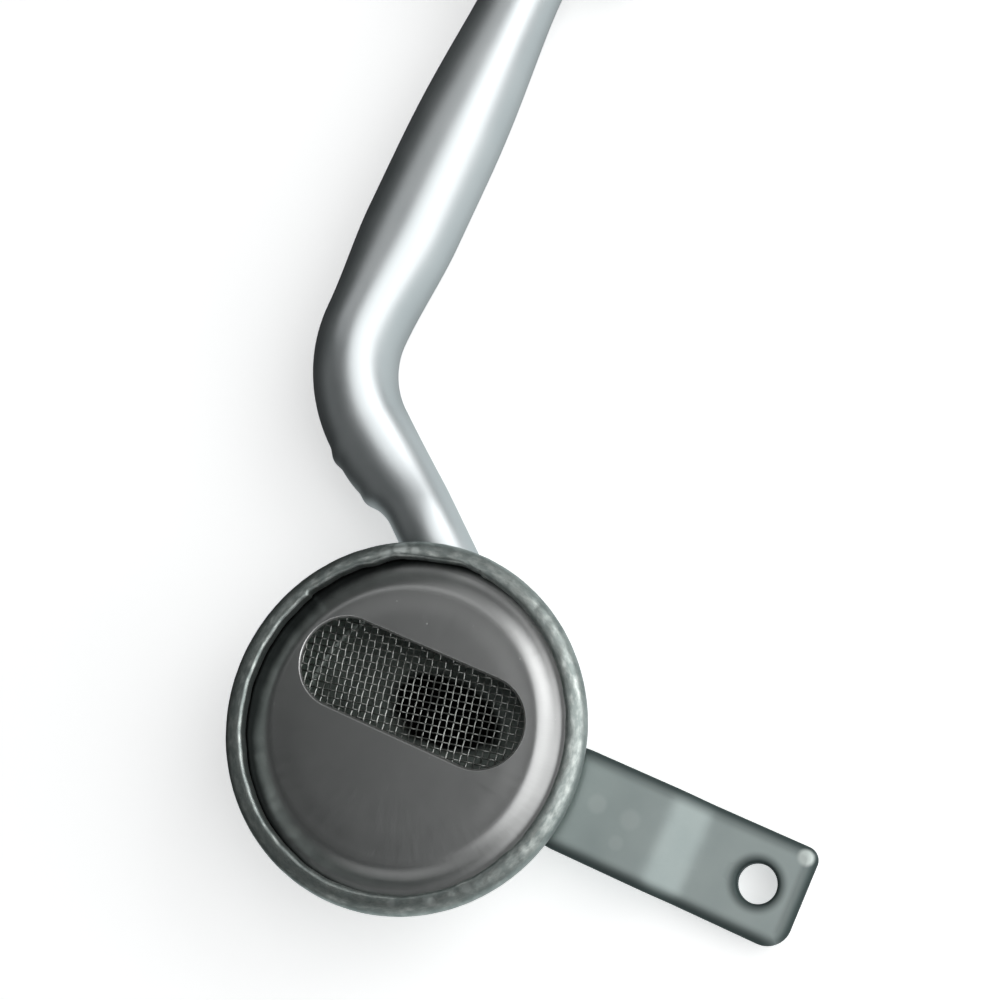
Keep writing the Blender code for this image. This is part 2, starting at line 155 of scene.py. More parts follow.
# Suction tube. It runs along Y, and its leg to the cup along LEG.
TUBE_RADIUS = 11.1 * MM
TUBE_WALL = 1.5 * MM
TUBE_SIDES = 96
RUN_X = -50.3 * MM
RUN_HEIGHT = 15.0 * MM
ELBOW_HALF_WIDTH = 9.45 * MM
ELBOW_HALF_HEIGHT = 11.4 * MM
BEND_RADIUS = 28.0 * MM
LEG_ANGLE = math.radians(-39.6)
LEG_OFFSET = 18.1 * MM
ROUNDING_LENGTH = 25.0 * MM
SWAGE_LENGTH = 22.0 * MM
SWAGE_BIAS = 1.8
FLATTEN_START = 0.25
RIPPLE_HEIGHT = 0.7 * MM
RIPPLE_START = 0.14
RIPPLE_PITCH = 0.54
NECK_RADIUS = 7.4 * MM
NECK_SHIFT = 2.4 * MM
NECK_HEIGHT = 10.5 * MM
NECK_REACH = 2.5 * MM
PUMP_NECK_RADIUS = 8.75 * MM
PUMP_TAPER_START = 117.0 * MM
PUMP_TAPER_END = 168.0 * MM
PUMP_TAPER_BIAS = 1.3
RUN_STEPS = 16
BEND_STEPS = 24
SWAGE_STEPS = 40
LEG = Vector((math.cos(LEG_ANGLE), math.sin(LEG_ANGLE), 0.0))
SIDE = Vector((-LEG.y, LEG.x, 0.0))

# Strap bracket
STRAP_WIDTH = 22.2 * MM
STRAP_THICKNESS = 4.5 * MM
STRAP_ROOT_TOP = 11.0 * MM
STRAP_DROP = 4.5 * MM
JOGGLE_X = 59.4 * MM
JOGGLE_LENGTH = 10.5 * MM
STRAP_END_X = 86.4 * MM
STRAP_HOLE = Vector((76.8 * MM, 0.4 * MM))
STRAP_HOLE_RADIUS = 4.1 * MM
STRAP_HOLE_ROUND = 0.8 * MM
STRAP_EDGE_ROUND = 2.1 * MM
STRAP_CORNERS = (2.8 * MM, 5.2 * MM)
STRAP_STEPS = 360
STRAP_RINGS = 30
ROUND_STEPS = 6
# Widths over which painted shade fades in from the strap's outline and from its hole
STRAP_EDGE_FADE = 3.4 * MM
STRAP_HOLE_FADE = 2.6 * MM

# A face whose normal is this near to an axis counts as a flat across it
FLAT_COSINE = 0.9999

# Spots rubbed pale, in mm: place, radius and strength
STRAP_SPOTS = (
    (Vector((41.1, 1.7, 11.0)), 2.6, 0.3),
    (Vector((48.7, 1.5, 11.0)), 2.8, 0.25),
    (Vector((47.9, -4.0, 11.0)), 2.0, 0.2),
    (Vector((83.9, 9.2, 6.4)), 2.2, 1.0),
)
RIM_SPOTS = (
    (Vector((-18.6, 31.3, 27.2)), 1.7, 0.8),
    (Vector((-15.9, 33.4, 27.0)), 2.0, 0.9),
    (Vector((-12.6, 34.0, 27.2)), 1.2, 0.6),
    (Vector((27.0, -24.0, 27.0)), 1.4, 0.5),
    (Vector((21.5, -29.4, 26.9)), 1.2, 0.5),
    (Vector((14.0, -33.2, 26.9)), 1.3, 0.5),
)

# Camera, from the photograph: a 65 mm lens looking down from the bracket's side
LENS = 65.0
SENSOR_WIDTH = 36.0
CAMERA_PLACE = Vector((116.6, -1.1, 382.7)) * MM
CAMERA_AIM = Vector((-7.1, 53.8, 6.3)) * MM
CAMERA_UP = Vector((-0.3539, 0.9018, 0.2479))

# Studio: the room, the paper's glow near the part and far from it, and the glowing bench sheet of painted
# reflection that only the metal mirrors
ROOM_TINT = "#F2FAFB"
ROOM_LEVEL = 0.055
STAGE_REACH = 20.0
PAPER_GLOW = 0.5
PAPER_NEAR = 0.4
PAPER_FAR = 1.1
BENCH_HEIGHT = 0.1 * MM
BENCH_LEFT = 0.03
BENCH_RIGHT = 0.75
BENCH_LEFT_X = -65.0 * MM
BENCH_RIGHT_X = -15.0 * MM

# Soft boxes: name, place in mm, width and depth in metres, and radiance. All aim at one place.
LAMP_AIM = Vector((-10, 50, 10))
LAMPS = (
    ("key", Vector((500, 240, 620)), 1.2, 1.2, 1.5),
    ("overhead", Vector((-350, 340, 620)), 0.64, 0.31, 0.7),
    ("side", Vector((900, 60, 260)), 0.9, 0.5, 0.9),
    ("front", Vector((150, -800, 380)), 0.9, 0.5, 0.5),
    ("front left", Vector((-780, -420, 480)), 0.6, 0.5, 0.12),
    ("back", Vector((-100, 950, 420)), 0.9, 0.5, 0.35),
    ("back right", Vector((380, 700, 500)), 0.6, 0.4, 1.6),
)

# Sockets of the colour mix node
FACTOR, COLOUR_A, COLOUR_B, MIXED = 0, 6, 7, 2


# Shared helpers

def srgb(code):
    """Linear RGBA of a hex colour."""
    channels = [int(code[i : i + 2], 16) / 255 for i in (1, 3, 5)]
    return [c / 12.92 if c < 0.04045 else ((c + 0.055) / 1.055) ** 2.4 for c in channels] + [1.0]


def add_node(material, kind, inputs=None, **settings):
    """Adds a node. Each input is a value, or the output socket that is linked to it."""
    tree = material.node_tree
    node = tree.nodes.new(kind)
    for key, value in settings.items():
        setattr(node, key, value)
    for key, value in (inputs or {}).items():
        if isinstance(value, bpy.types.NodeSocket):
            tree.links.new(value, node.inputs[key])
        else:
            node.inputs[key].default_value = value
    return node


def start_metal(name):
    """A metal, its shader, and its piece's coordinates in metres."""
    material = bpy.data.materials.new(name)
    material.use_nodes = True
    shader = material.node_tree.nodes["Principled BSDF"]
    shader.inputs["Metallic"].default_value = 1.0
    place = add_node(material, "ShaderNodeTexCoord").outputs["Object"]
    return material, shader, place


def dress(material, shader, **outputs):
    """Links outputs to the shader's sockets, whose names are written with underscores."""
    for name, output in outputs.items():
        material.node_tree.links.new(output, shader.inputs[name.replace("_", " ")])
    return material


def rub_spots(material, place, tone, spots):
    """Rubs pale spots into a tone. Each has a place, a radius and a strength."""
    for centre, radius, strength in spots:
        away = add_node(material, "ShaderNodeVectorMath", {0: place, 1: centre * MM}, operation="DISTANCE")
        rubbed = add_node(
            material,
            "ShaderNodeMapRange",
            {
                "Value": away.outputs["Value"],
                "From Min": radius * MM / 2,
                "From Max": radius * MM,
                "To Min": strength,
                "To Max": 0.0,
            },
            interpolation_type="SMOOTHSTEP",
        )
        tone = add_node(
            material,
            "ShaderNodeMix",
            {FACTOR: rubbed.outputs["Result"], COLOUR_A: tone, COLOUR_B: srgb("#DCE3E0")},
            data_type="RGBA",
        ).outputs[MIXED]
    return tone


def ease(t):
    """Smooth step from 0 to 1."""
    t = min(max(t, 0.0), 1.0)
    return t * t * (3.0 - 2.0 * t)


def arc(centre, radii, start, end, segments):
    """Points of an elliptical arc in the plane of a turned profile, angles in degrees."""
    angles = [math.radians(start + (end - start) * i / segments) for i in range(segments + 1)]
    return [(centre[0] + radii[0] * math.cos(a), centre[1] + radii[1] * math.sin(a)) for a in angles]


def finish_piece(name, bm, materials, node, smooth_angle=40.0):
    """Turns a bmesh into a piece that rides on the part, takes its materials and replaces a node."""
    mesh = bpy.data.meshes.new(name)
    bm.to_mesh(mesh)
    bm.free()
    mesh.shade_smooth()
    mesh.set_sharp_from_angle(angle=math.radians(smooth_angle))
    for material in materials:
        mesh.materials.append(material)
    piece = bpy.data.objects.new(name, mesh)
    bpy.context.scene.collection.objects.link(piece)
    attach(piece, BODY)
    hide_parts(node)
    return piece


def add_modifier(piece, kind, **settings):
    """Adds a modifier with its settings."""
    modifier = piece.modifiers.new(kind.title(), kind)
    for key, value in settings.items():
        setattr(modifier, key, value)


def spin_profile(profile, steps):
    """Turns an open profile of radii and heights about Z."""
    bm = bmesh.new()
    verts = [bm.verts.new((radius, 0.0, height)) for radius, height in profile]
    edges = [bm.edges.new(pair) for pair in zip(verts, verts[1:])]
    bmesh.ops.spin(
        bm,
        geom=verts + edges,
        cent=(0, 0, 0),
        axis=(0, 0, 1),
        dvec=(0, 0, 0),
        angle=2 * math.pi,
        steps=steps,
        use_merge=True,
        use_duplicate=False,
    )
    bmesh.ops.remove_doubles(bm, verts=bm.verts, dist=MERGE_GAP)
    bmesh.ops.recalc_face_normals(bm, faces=bm.faces)
    return bm


def loft(rings, closed=False):
    """Extrudes a loop of edges through rings of places, and may bridge the last ring to the first."""
    bm = bmesh.new()
    bmesh.ops.create_circle(bm, segments=len(rings[0]), radius=1.0)
    verts = bm.verts[:]
    first = edges = bm.edges[:]
    for ring in rings:
        if ring is not rings[0]:
            grown = bmesh.ops.extrude_edge_only(bm, edges=edges)["geom"]
            edges = [g for g in grown if isinstance(g, bmesh.types.BMEdge)]
            verts = [g for g in grown if isinstance(g, bmesh.types.BMVert)]
        for vert, place in zip(verts, ring):
            vert.co = place
    if closed:
        bmesh.ops.bridge_loops(bm, edges=first + edges)
    bmesh.ops.recalc_face_normals(bm, faces=bm.faces)
    return bm


def face_up(bm):
    """Turns an open sheet's faces upwards, before it gets its thickness."""
    if sum(face.normal.z * face.calc_area() for face in bm.faces) < 0:
        bmesh.ops.reverse_faces(bm, faces=bm.faces)
    return bm


# Materials

def cloud_tone(material, place, dark, pale, size, detail=3.0, roughness=0.5):
    """Clouds of a size in metres, and the tone that they mix from two colours."""
    clouds = add_node(
        material,
        "ShaderNodeTexNoise",
        {"Vector": place, "Scale": 1 / size, "Detail": detail, "Roughness": roughness},
    ).outputs["Fac"]
    tone = add_node(
        material,
        "ShaderNodeMix",
        {FACTOR: clouds, COLOUR_A: srgb(dark), COLOUR_B: srgb(pale)},
        data_type="RGBA",
    ).outputs[MIXED]
    return clouds, tone


def grain_relief(material, place, size, strength, depth, detail=2.0, roughness=0.5):
    """Normals of a grain, whose size and depth are in metres."""
    grain = add_node(
        material,
        "ShaderNodeTexNoise",
        {"Vector": place, "Scale": 1 / size, "Detail": detail, "Roughness": roughness},
    ).outputs["Fac"]
    bump = add_node(material, "ShaderNodeBump", {"Height": grain, "Strength": strength, "Distance": depth})
    return bump.outputs["Normal"]


def polar_place(material, place, mean_radius, stretch):
    """Coordinates round and across the cup's axis, and the radius.

    They are true to size round the mean radius, and shrunk by stretch along the radius, so that a
    small stretch draws a pattern out along it.
    """
    flat = add_node(
        material, "ShaderNodeVectorMath", {0: place, 1: (1, 1, 0)}, operation="MULTIPLY"
    ).outputs[0]
    radius = add_node(material, "ShaderNodeVectorMath", {0: flat}, operation="LENGTH").outputs["Value"]
    bearing = add_node(material, "ShaderNodeVectorMath", {0: flat}, operation="NORMALIZE")
    around = add_node(
        material, "ShaderNodeVectorMath", {0: bearing.outputs[0], "Scale": mean_radius}, operation="SCALE"
    )
    stretched = add_node(material, "ShaderNodeMath", {0: radius, 1: stretch}, operation="MULTIPLY")
    outward = add_node(material, "ShaderNodeCombineXYZ", {"Z": stretched.outputs[0]})
    polar = add_node(
        material, "ShaderNodeVectorMath", {0: around.outputs[0], 1: outward.outputs[0]}, operation="ADD"
    )
    return polar.outputs[0], radius


def satin_plated_tube():
    """Drawn steel tube under satin zinc plate: an even silver-white sheen that drifts a little."""
    material, shader, place = start_metal("satin zinc plated drawn steel")
    clouds, tone = cloud_tone(material, place, "#CDD3D5", "#DEE2E3", size=15 * MM)
    sheen = add_node(
        material,
        "ShaderNodeMapRange",
        {"Value": clouds, "From Min": 0.3, "From Max": 0.7, "To Min": 0.40, "To Max": 0.46},
    )
    grain = grain_relief(material, place, size=0.5 * MM, strength=0.25, depth=0.01 * MM)
    return dress(material, shader, Base_Color=tone, Roughness=sheen.outputs["Result"], Normal=grain)


def rolled_cup_steel():
    """Pressed steel under dull zinc plate: grey-green, matte, worn to bright specks where it was rolled."""
    material, shader, place = start_metal("dull zinc plated pressed steel")
    _, plate = cloud_tone(
        material, place, "#848E8C", "#ACB4B1", size=6 * MM, detail=5.0, roughness=0.6
    )
    # The roller smeared the wear along the rim: the pattern is stretched round it
    smeared, _ = polar_place(material, place, SMEAR_RADIUS, 1.0)
    specks = add_node(
        material,
        "ShaderNodeTexNoise",
        {"Vector": smeared, "Scale": 1 / SPECK_SIZE, "Detail": 5.0, "Roughness": 0.6},
    )
    rubbed = add_node(
        material,
        "ShaderNodeMapRange",
        {"Value": specks.outputs["Fac"], "From Min": 0.42, "From Max": 0.72},
    )
    height = add_node(material, "ShaderNodeSeparateXYZ", {"Vector": place})
    on_rim = add_node(
        material,
        "ShaderNodeMapRange",
        {"Value": height.outputs["Z"], "From Min": WEAR_LOW, "From Max": WEAR_HIGH},
    )
    worn = add_node(
        material,
        "ShaderNodeMath",
        {0: rubbed.outputs["Result"], 1: on_rim.outputs["Result"]},
        operation="MULTIPLY",
    ).outputs[0]
    tone = add_node(
        material,
        "ShaderNodeMix",
        {FACTOR: worn, COLOUR_A: plate, COLOUR_B: srgb("#CBD1CD")},
        data_type="RGBA",
    ).outputs[MIXED]
    tone = rub_spots(material, place, tone, RIM_SPOTS)
    sheen = add_node(material, "ShaderNodeMapRange", {"Value": worn, "To Min": 0.46, "To Max": 0.33})
    pits = grain_relief(
        material, place, size=0.7 * MM, strength=0.7, depth=0.06 * MM, detail=3.0, roughness=0.6
    )
    return dress(material, shader, Base_Color=tone, Roughness=sheen.outputs["Result"], Normal=pits)


def cup_inside_with_painted_shadow():
    """The same steel inside the cup, with a black patch of painted shadow on its floor."""
    material, shader, place = start_metal("pressed steel with painted shadow")
    ragged_noise = add_node(
        material, "ShaderNodeTexNoise", {"Vector": place, "Scale": 1 / (7 * MM), "Detail": 3.0}
    ).outputs["Fac"]
    over_shadow = add_node(
        material,
        "ShaderNodeMapping",
        {
            "Location": (0.0, -PAINTED_SHADOW_Y / PAINTED_SHADOW_HALF_WIDTH, 0.0),
            "Scale": (1 / PAINTED_SHADOW_HALF_LENGTH, 1 / PAINTED_SHADOW_HALF_WIDTH, 0.0),
            "Vector": place,
        },
    )
    reach = add_node(material, "ShaderNodeVectorMath", {0: over_shadow.outputs["Vector"]}, operation="LENGTH")
    uneven = add_node(
        material,
        "ShaderNodeMath",
        {0: ragged_noise, 1: PAINTED_SHADOW_UNEVENNESS, 2: reach.outputs["Value"]},
        operation="MULTIPLY_ADD",
    )
    outside_shadow = add_node(
        material, "ShaderNodeMapRange", {"Value": uneven.outputs[0], "From Min": 1.15, "From Max": 1.4}
    )
    # Painted shadow: black inside the patch, the steel's own grey-green outside it
    tone = add_node(
        material,
        "ShaderNodeMix",
        {FACTOR: outside_shadow.outputs["Result"], COLOUR_A: srgb("#0C0C0B"), COLOUR_B: srgb("#98A19C")},
        data_type="RGBA",
    )
    sheen = add_node(material, "ShaderNodeMapRange", {"Value": ragged_noise, "To Min": 0.4, "To Max": 0.6})
    return dress(material, shader, Base_Color=tone.outputs[MIXED], Roughness=sheen.outputs["Result"])


def cover_marks(material, place):
    """How much hair scratches and specks of dust cover the face of the cover."""
    # Hair scratches, drawn 0.35 mm apart so that they show
    turned = add_node(
        material,
        "ShaderNodeMapping",
        {"Vector": place, "Rotation": (0, 0, SCRATCH_TURN), "Scale": (1 / (0.35 * MM), 1 / (6 * MM), 0.0)},
    )
    hairs = add_node(
        material, "ShaderNodeTexNoise", {"Vector": turned.outputs[0], "Scale": 1.0, "Detail": 1.0}
    )
    scratched = add_node(
        material,
        "ShaderNodeMapRange",
        {"Value": hairs.outputs["Fac"], "From Min": 0.72, "From Max": 0.90, "To Max": 0.35},
    )
    # One speck of 0.2 to 0.5 mm in some of the cells
    cells = add_node(material, "ShaderNodeTexVoronoi", {"Vector": place, "Scale": 1 / DUST_CELL})
    away = cells.outputs["Distance"]
    near = add_node(
        material,
        "ShaderNodeMapRange",
        {"Value": away, "From Min": 0.03, "From Max": 0.08, "To Min": 1.0, "To Max": 0.0},
    )
    pick = add_node(material, "ShaderNodeSeparateColor", {"Color": cells.outputs["Color"]})
    chosen = add_node(
        material, "ShaderNodeMath", {0: pick.outputs["Red"], 1: CLEAN_CELLS}, operation="GREATER_THAN"
    )
    dust = add_node(
        material, "ShaderNodeMath", {0: near.outputs["Result"], 1: chosen.outputs[0]}, operation="MULTIPLY"
    )
    marks = add_node(
        material, "ShaderNodeMath", {0: dust.outputs[0], 1: scratched.outputs["Result"]}, operation="MAXIMUM"
    )
    return marks.outputs[0]


def painted_groove_shade(material, mottle, across, radius):
    """How much painted shade darkens the groove under the lip, widest on the left, where the face is shaded
    too.
    """
    creep = add_node(
        material,
        "ShaderNodeMath",
        {0: mottle, 1: GROOVE_SHADE_CREEP, 2: radius},
        operation="MULTIPLY_ADD",
    )
    leaning = add_node(
        material,
        "ShaderNodeMath",
        {0: across, 1: GROOVE_SHADE_LEAN, 2: creep.outputs[0]},
        operation="MULTIPLY_ADD",
    )
    groove_shade = add_node(
        material,
        "ShaderNodeMapRange",
        {"Value": leaning.outputs[0], "From Min": GROOVE_SHADE_START, "From Max": GROOVE_SHADE_END},
        interpolation_type="SMOOTHSTEP",
    )
    return groove_shade.outputs["Result"]


def satin_cover_steel():
    """Pressed bright steel: satin grey, with draw lines on its shoulder, scratches and dust, and painted
    shade that darkens it towards its left.

    Painted shade darkens the groove under the rim, and the punched edge of the slot is painted pale: partly
    bare metal, partly a painted highlight.
    """
    material, shader, place = start_metal("satin pressed steel")
    mottle, tone = cloud_tone(
        material, place, "#B9BABA", "#C8C9C8", size=9 * MM, detail=4.0, roughness=0.55
    )
    # Draw lines run out along the radius
    polar, radius = polar_place(material, place, PLATEAU_RADIUS, LINE_STRETCH)
    lines = add_node(
        material,
        "ShaderNodeTexNoise",
        {"Vector": polar, "Scale": 1 / LINE_SPACING, "Detail": 3.0, "Roughness": 0.6},
    ).outputs["Fac"]
    on_shoulder = add_node(
        material,
        "ShaderNodeMapRange",
        {"Value": radius, "From Min": LINES_START, "From Max": LINES_END, "To Min": 0.05, "To Max": 0.6},
    )
    relief = add_node(
        material,
        "ShaderNodeBump",
        {"Height": lines, "Strength": on_shoulder.outputs["Result"], "Distance": 0.03 * MM},
    )
    marks = cover_marks(material, place)
    across = add_node(material, "ShaderNodeSeparateXYZ", {"Vector": place}).outputs["X"]
    # Painted shade: the face darkens towards its left, away from the bracket
    oil_film_and_painted_shade = add_node(
        material,
        "ShaderNodeMapRange",
        {"Value": across, "From Min": LEFT_SHADE_START_X, "From Max": LEFT_SHADE_END_X, "To Max": 0.75},
    )
    groove_shade = painted_groove_shade(material, mottle, across, radius)
    bare_edge_and_highlight = add_node(material, "ShaderNodeAttribute", attribute_name="bare_and_highlight")
    # The left-side layer and the groove layer are painted shade; the slot's edge layer is bare metal with a
    # painted highlight
    layers = (
        (marks, "#E4E6E4"),
        (oil_film_and_painted_shade.outputs["Result"], "#828483"),
        (groove_shade, "#3C3E3E"),
        (bare_edge_and_highlight.outputs["Fac"], "#F0F0EF"),
    )
    for amount, colour in layers:
        tone = add_node(
            material,
            "ShaderNodeMix",
            {FACTOR: amount, COLOUR_A: tone, COLOUR_B: srgb(colour)},
            data_type="RGBA",
        ).outputs[MIXED]
    satin = add_node(material, "ShaderNodeMapRange", {"Value": lines, "To Min": 0.33, "To Max": 0.43})
    sheen = add_node(
        material,
        "ShaderNodeMath",
        {0: marks, 1: 0.35, 2: satin.outputs["Result"]},
        operation="MULTIPLY_ADD",
    )
    return dress(
        material, shader, Base_Color=tone, Roughness=sheen.outputs[0], Normal=relief.outputs["Normal"]
    )


def woven_wire():
    """Woven steel wire with a film of oil: bright lines on the crimps, brown-grey between them."""
    material, shader, place = start_metal("woven steel wire")
    oil_film_and_painted_shade, tone = cloud_tone(material, place, "#868884", "#BCBFBB", size=5 * MM, roughness=0.6)
    sheen = add_node(material, "ShaderNodeMapRange", {"Value": oil_film_and_painted_shade, "To Min": 0.42, "To Max": 0.26})
    return dress(material, shader, Base_Color=tone, Roughness=sheen.outputs["Result"])


def matte_strap_steel():
    """Strip steel under dull zinc plate: matte grey-green, softly clouded and rubbed, with painted shade
    darkening its edges and the hole's rim.
    """
    material, shader, place = start_metal("dull zinc plated strip steel")
    clouds, tone = cloud_tone(material, place, "#B2BDBC", "#C8D1CF", size=8 * MM, detail=4.0)
    edge = add_node(material, "ShaderNodeAttribute", attribute_name="edge")
    # Painted shade: darker towards the strap's rounded edges and round the bolt hole
    tone = add_node(
        material,
        "ShaderNodeMix",
        {FACTOR: edge.outputs["Fac"], COLOUR_A: tone, COLOUR_B: srgb("#4E5A59")},
        data_type="RGBA",
    ).outputs[MIXED]
    tone = rub_spots(material, place, tone, STRAP_SPOTS)
    sheen = add_node(material, "ShaderNodeMapRange", {"Value": clouds, "To Min": 0.68, "To Max": 0.76})
    grain = grain_relief(material, place, size=0.6 * MM, strength=0.3, depth=0.02 * MM)
    return dress(material, shader, Base_Color=tone, Roughness=sheen.outputs["Result"], Normal=grain)


def ground_flange_steel():
    """Blanked steel plate with ground faces: mid grey, with fine straight grinding lines."""
    material, shader, place = start_metal("ground steel plate")
    # Lines 20 mm long, 0.3 mm apart on the faces and 2 mm apart on the edge
    drawn_out = add_node(
        material,
        "ShaderNodeMapping",
        {"Vector": place, "Scale": (1 / (20 * MM), 1 / (2 * MM), 1 / (0.3 * MM))},
    )
    lines, tone = cloud_tone(material, drawn_out.outputs[0], "#8B9192", "#A9AEAE", size=1.0, detail=4.0)
    sheen = add_node(material, "ShaderNodeMapRange", {"Value": lines, "To Min": 0.34, "To Max": 0.50})
    relief = add_node(material, "ShaderNodeBump", {"Height": lines, "Strength": 0.4, "Distance": 0.02 * MM})
    return dress(
        material,
        shader,
        Base_Color=tone,
        Roughness=sheen.outputs["Result"],
        Normal=relief.outputs["Normal"],
    )


def braze_filler():
    """Brazing filler as it set: dull silver-bronze, rippled, with darker flux stains."""
    material, shader, place = start_metal("silver bronze braze")
    stain, tone = cloud_tone(
        material, place, "#857B62", "#BFB79C", size=2.5 * MM, detail=4.0, roughness=0.6
    )
    sheen = add_node(material, "ShaderNodeMapRange", {"Value": stain, "To Min": 0.36, "To Max": 0.56})
    ripple = grain_relief(material, place, size=1.2 * MM, strength=0.7, depth=0.15 * MM, detail=1.0)
    return dress(material, shader, Base_Color=tone, Roughness=sheen.outputs["Result"], Normal=ripple)


TUBE = satin_plated_tube()
CUP = rolled_cup_steel()
CUP_INSIDE = cup_inside_with_painted_shadow()
COVER = satin_cover_steel()
WIRE = woven_wire()
STRAP = matte_strap_steel()
FLANGE = ground_flange_steel()
FILLER = braze_filler()


# Cup

def wall_radius(height):
    """Outer radius of the cup's tapered wall at a height."""
    return CUP_RADIUS - (RIM_UNDERSIDE - height) * math.tan(CUP_DRAFT)


def neck_end():
    """Where the neck ends along LEG: its near side reaches a little past the cup's wall."""
    inside = wall_radius(NECK_HEIGHT) - CUP_SHEET / math.cos(CUP_DRAFT)
    near_side = LEG_OFFSET + NECK_SHIFT + NECK_RADIUS
    return -(math.sqrt(inside**2 - near_side**2) - NECK_REACH)


def mark_rim(bm):
    """Dents the rolled rim and pulls its lip about, most of all between the lip's two steps."""
    bm.normal_update()
    for vert in bm.verts:
        radius = math.hypot(vert.co.x, vert.co.y)
        if vert.co.z < RIM_FOOT or radius < LIP_RADIUS - SEAT_GAP:
            continue
        out = Vector((vert.co.x, vert.co.y, 0.0)) / radius
        azimuth = math.atan2(vert.co.y, vert.co.x)
        rough = ROUGH_LIP_START < azimuth < ROUGH_LIP_END
        at_top = ease((vert.co.z - RIM_SHOULDER) / (RIM_TOP - RIM_SHOULDER))
        at_lip = ease((LIP_RADIUS + LIP_BAND - radius) / LIP_BAND)
        dent = noise.noise(vert.co / DENT_SIZE) * DENT_DEPTH
        dent += noise.noise(vert.co / CHATTER_SIZE) * CHATTER_DEPTH
        dent *= ROUGH_LIP_DENTS if rough else 1.0
        wave = noise.noise(out * RIM_RADIUS / LIP_WAVE_LENGTH) * LIP_WAVE
        wave *= ROUGH_LIP_WAVES if rough else 1.0
        pull = ROUGH_LIP_PULL if rough else 0.0
        vert.co += vert.normal * dent * (SIDE_DENTS + (1 - SIDE_DENTS) * at_top)
        vert.co += out * (wave + pull) * at_lip


def cup_profile():
    """The cup's outer face from the lip's end over the rim, down the wall and in to the axis."""
    lip_top = RIM_TOP - LIP_ROUND
    crown_radius = LIP_RADIUS + LIP_ROUND
    step_radius = CUP_SHEET / 2
    step_x = CUP_RADIUS + step_radius
    back_x = wall_radius(CUP_BACK_ROUND) - CUP_BACK_ROUND / math.cos(CUP_DRAFT)
    profile = [(LIP_RADIUS, LIP_END + (lip_top - LIP_END) * i / 3) for i in range(3)]
    profile += arc((crown_radius, lip_top), (LIP_ROUND, LIP_ROUND), 180, 90, 8)
    crown = (RIM_RADIUS - crown_radius, RIM_TOP - RIM_SHOULDER)
    profile += arc((crown_radius, RIM_SHOULDER), crown, 90, 0, 14)[1:]
    tuck = (RIM_RADIUS - step_x, RIM_SHOULDER - RIM_UNDERSIDE)
    profile += arc((step_x, RIM_SHOULDER), tuck, 0, -90, 12)[1:]
    profile += arc((step_x, RIM_UNDERSIDE - step_radius), (step_radius, step_radius), 90, 180, 4)
    back = (CUP_BACK_ROUND, CUP_BACK_ROUND)
    profile += arc((back_x, CUP_BACK_ROUND), back, -math.degrees(CUP_DRAFT), -90, 8)
    return profile + [(CUP_RADIUS * share, 0.0) for share in (0.6, 0.3, 0.0)]


def cut_neck_bore(cup):
    """Cuts the neck's bore through the cup's wall and keeps the result as the cup's mesh."""
    length = CUP_RADIUS
    centre = SIDE * (LEG_OFFSET + NECK_SHIFT) + LEG * (neck_end() - length / 2) + UP * NECK_HEIGHT
    turn = UP.rotation_difference(LEG).to_matrix().to_4x4()
    bore = bmesh.new()
    bmesh.ops.create_cone(
        bore,
        cap_ends=True,
        segments=BORE_SIDES,
        radius1=NECK_RADIUS + SEAT_GAP,
        radius2=NECK_RADIUS + SEAT_GAP,
        depth=length,
        matrix=Matrix.Translation(centre) @ turn,
    )
    mesh = bpy.data.meshes.new("neck bore")
    bore.to_mesh(mesh)
    bore.free()
    cutter = bpy.data.objects.new("neck_bore", mesh)
    bpy.context.scene.collection.objects.link(cutter)
    add_modifier(cup, "BOOLEAN", object=cutter, operation="DIFFERENCE")
    evaluated = cup.evaluated_get(bpy.context.evaluated_depsgraph_get())
    cut = bpy.data.meshes.new_from_object(evaluated)
    cup.modifiers.clear()
    cup.data = cut
    bpy.data.objects.remove(cutter)


def make_cup():
    bm = spin_profile(cup_profile(), CUP_STEPS)
    mark_rim(bm)
    cup = finish_piece("strainer_cup", bm, [CUP, CUP_INSIDE], "screen_housing")
    add_modifier(
        cup, "SOLIDIFY", thickness=CUP_SHEET, offset=-1.0, use_even_offset=True, material_offset=1
    )
    cut_neck_bore(cup)


# Cover

def slot_outline():
    """Points round the slot, evenly spaced, each with its direction away from the slot."""
    radius = SLOT_WIDTH / 2
    half = (SLOT_LENGTH - SLOT_WIDTH) / 2
    turn = math.pi * radius
    around = 2 * (2 * half + turn)
    outline = []
    for i in range(SLOT_STEPS):
        s = around * i / SLOT_STEPS
        far_side = s >= turn + 2 * half
        if far_side:
            s -= turn + 2 * half
        if s < turn:
            a = s / radius - math.pi / 2
            out = Vector((math.cos(a), math.sin(a), 0.0))
            point = Vector((half, 0.0, 0.0)) + out * radius
        else:
            out = Vector((0.0, 1.0, 0.0))
            point = Vector((half - (s - turn), radius, 0.0))
        if far_side:
            point, out = -point, -out
        outline.append((SLOT_CENTRE + point, out))
    return outline


def onto_circle(point, out, radius):
    """Where the line from a point along a direction meets the circle of a radius round the axis."""
    near = point.dot(out)
    return point + out * (math.sqrt(near**2 - point.length_squared + radius**2) - near)


def cover_height(place):
    """Height of the cover's face: flat, then a soft roll-off, then the shoulder."""
    radius = math.hypot(place.x, place.y)
    soft = ROLL_OFF_DROP * ease((radius - ROLL_OFF_RADIUS) / (PLATEAU_RADIUS - ROLL_OFF_RADIUS))
    steep = (PLATEAU_RISE - ROLL_OFF_DROP) * ease((radius - PLATEAU_RADIUS) / SHOULDER_WIDTH)
    return COVER_FLANGE_TOP + PLATEAU_RISE - soft - steep


